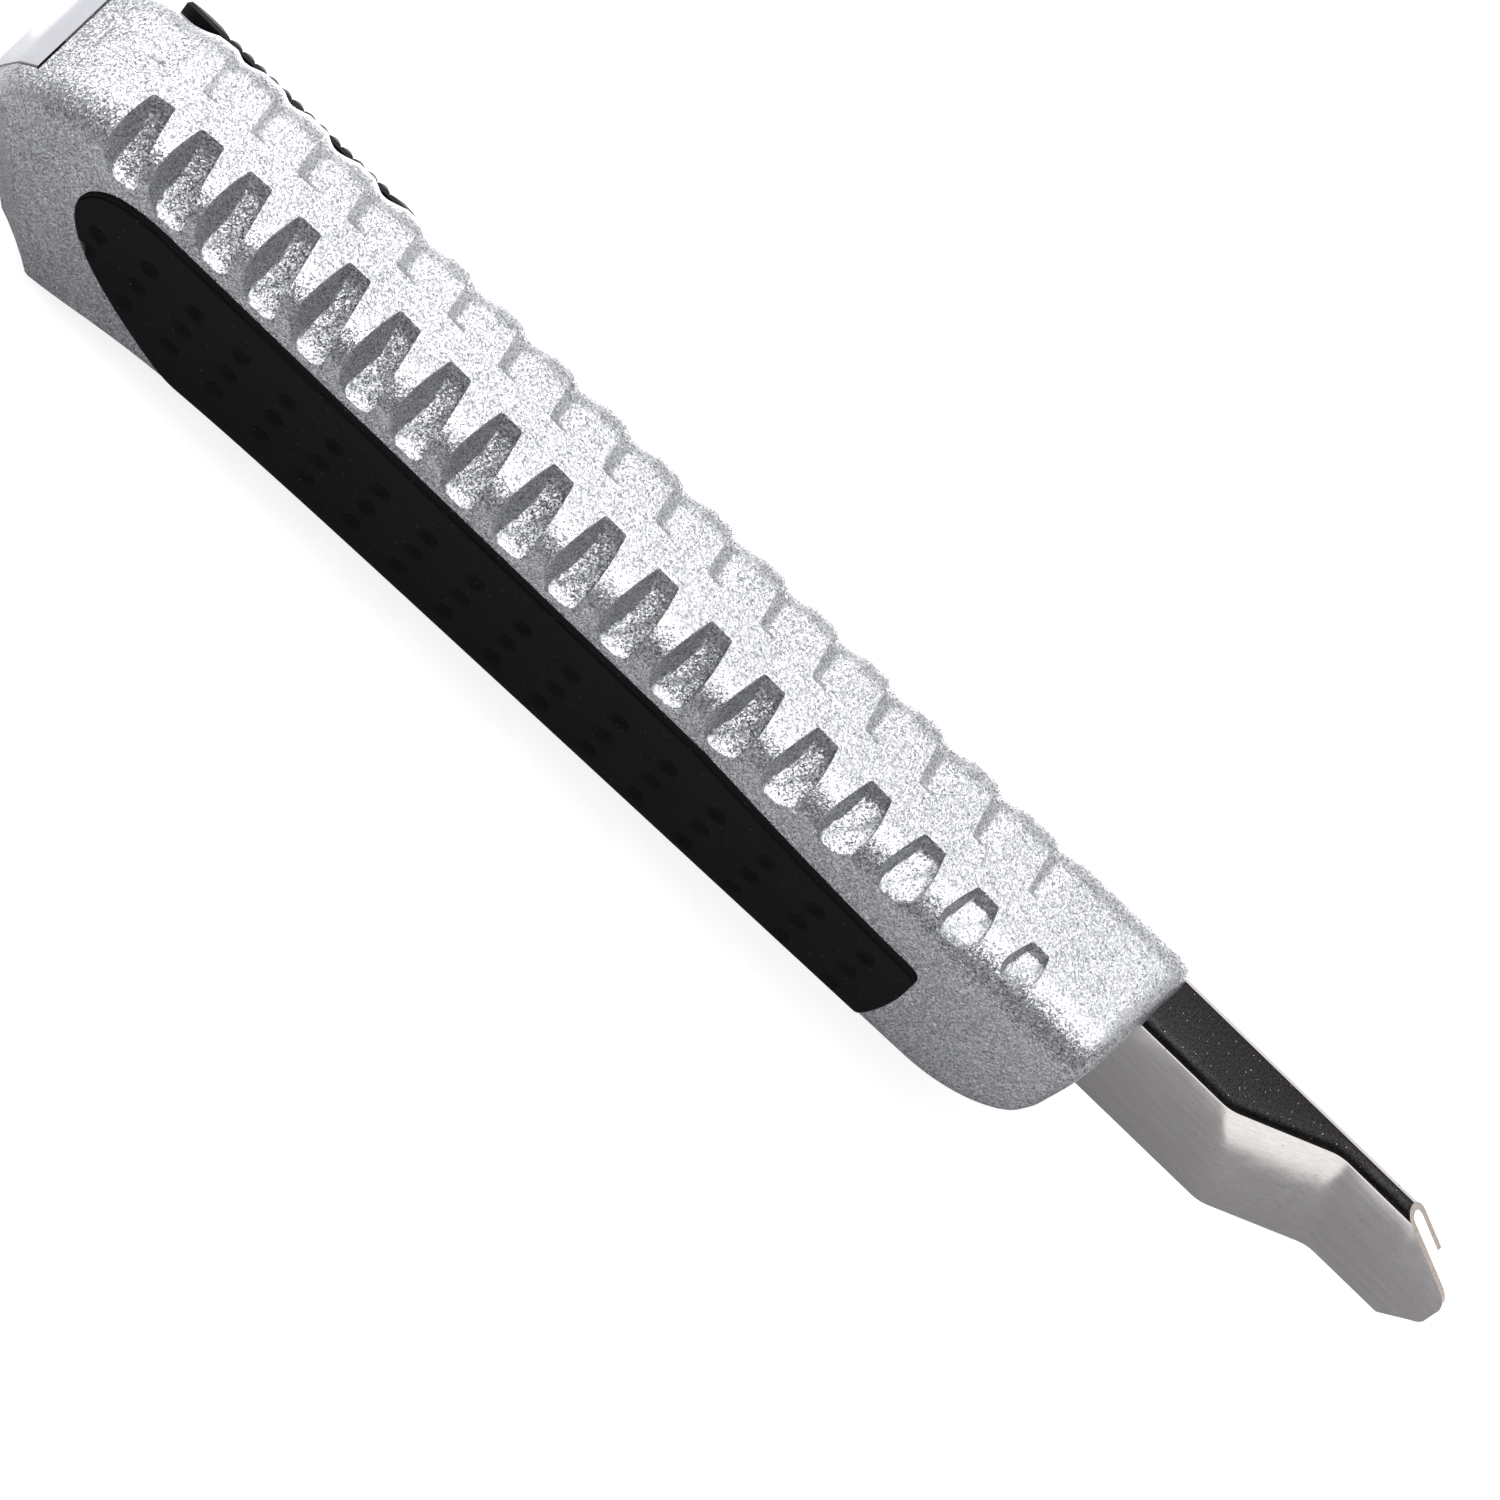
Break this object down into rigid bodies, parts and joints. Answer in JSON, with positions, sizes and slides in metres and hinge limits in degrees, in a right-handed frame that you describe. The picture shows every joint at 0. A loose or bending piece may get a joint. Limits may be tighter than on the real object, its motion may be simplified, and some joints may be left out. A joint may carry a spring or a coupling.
{
  "type": "utility knife",
  "caption": "Heavy snap-off utility knife: scalloped cast body with a rubber grip, folded steel blade channel, serrated slider with a press lock, and a magazine of spare blades.",
  "frame": {"origin": "under the middle of the knife's box, at the height of its lowest point, the heel of the tail", "axes": "+X along the blade channel towards the nose, +Z to the spine edge with the cutting edge down, -Y out of the rubber grip face and +Y out of the thumb pad face"},
  "size_m": [0.1856, 0.0194, 0.0377],
  "materials": {
    "cast_paint": "silver metal-flake paint over cast zinc",
    "grip_rubber": "matte moulded rubber",
    "channel_steel": "polished and nickel-plated sheet steel",
    "plain_steel": "cold-rolled",
    "spring_steel": "tempered",
    "blade_steel": "ground",
    "black_plastic": "moulded",
    "pad_plastic": "moulded, serrated",
    "cap_plastic": "gloss grey"
  },
  "bodies": {
    "knife_body": {"body_casting": "cast_paint", "grip_inlay": "grip_rubber", "blade_channel": "channel_steel", "channel_pin_front": "plain_steel", "channel_pin_rear": "plain_steel", "spare_blade_1": "blade_steel", "spare_blade_2": "blade_steel", "follower_plate": "plain_steel", "magazine_spring": "spring_steel"},
    "blade_slider": {"slider_block": "black_plastic", "carrier_plate": "plain_steel", "blade_stud": "plain_steel", "slider_rivet_rear": "plain_steel", "slider_rivet_front": "plain_steel", "pad_spring": "spring_steel", "blade": "blade_steel"},
    "lock_button": {"thumb_pad": "pad_plastic", "lock_plate": "plain_steel"},
    "tail_cap": {"end_cap": "cap_plastic", "cap_clip": "spring_steel"}
  },
  "joints": [
    {"name": "blade_slide", "type": "slide", "parent": "knife_body", "child": "blade_slider", "axis": [1, 0, 0], "range_m": [0, 0.09]},
    {"name": "lock_press", "type": "slide", "parent": "blade_slider", "child": "lock_button", "axis": [0, -1, 0], "range_m": [0, 0.0005], "stiffness_N_per_m": 400, "springref_m": -0.002, "deforming": ["pad_spring"]},
    {"name": "cap_pull", "type": "slide", "parent": "knife_body", "child": "tail_cap", "axis": [-1, 0, 0], "range_m": [0, 0.025]}
  ]
}
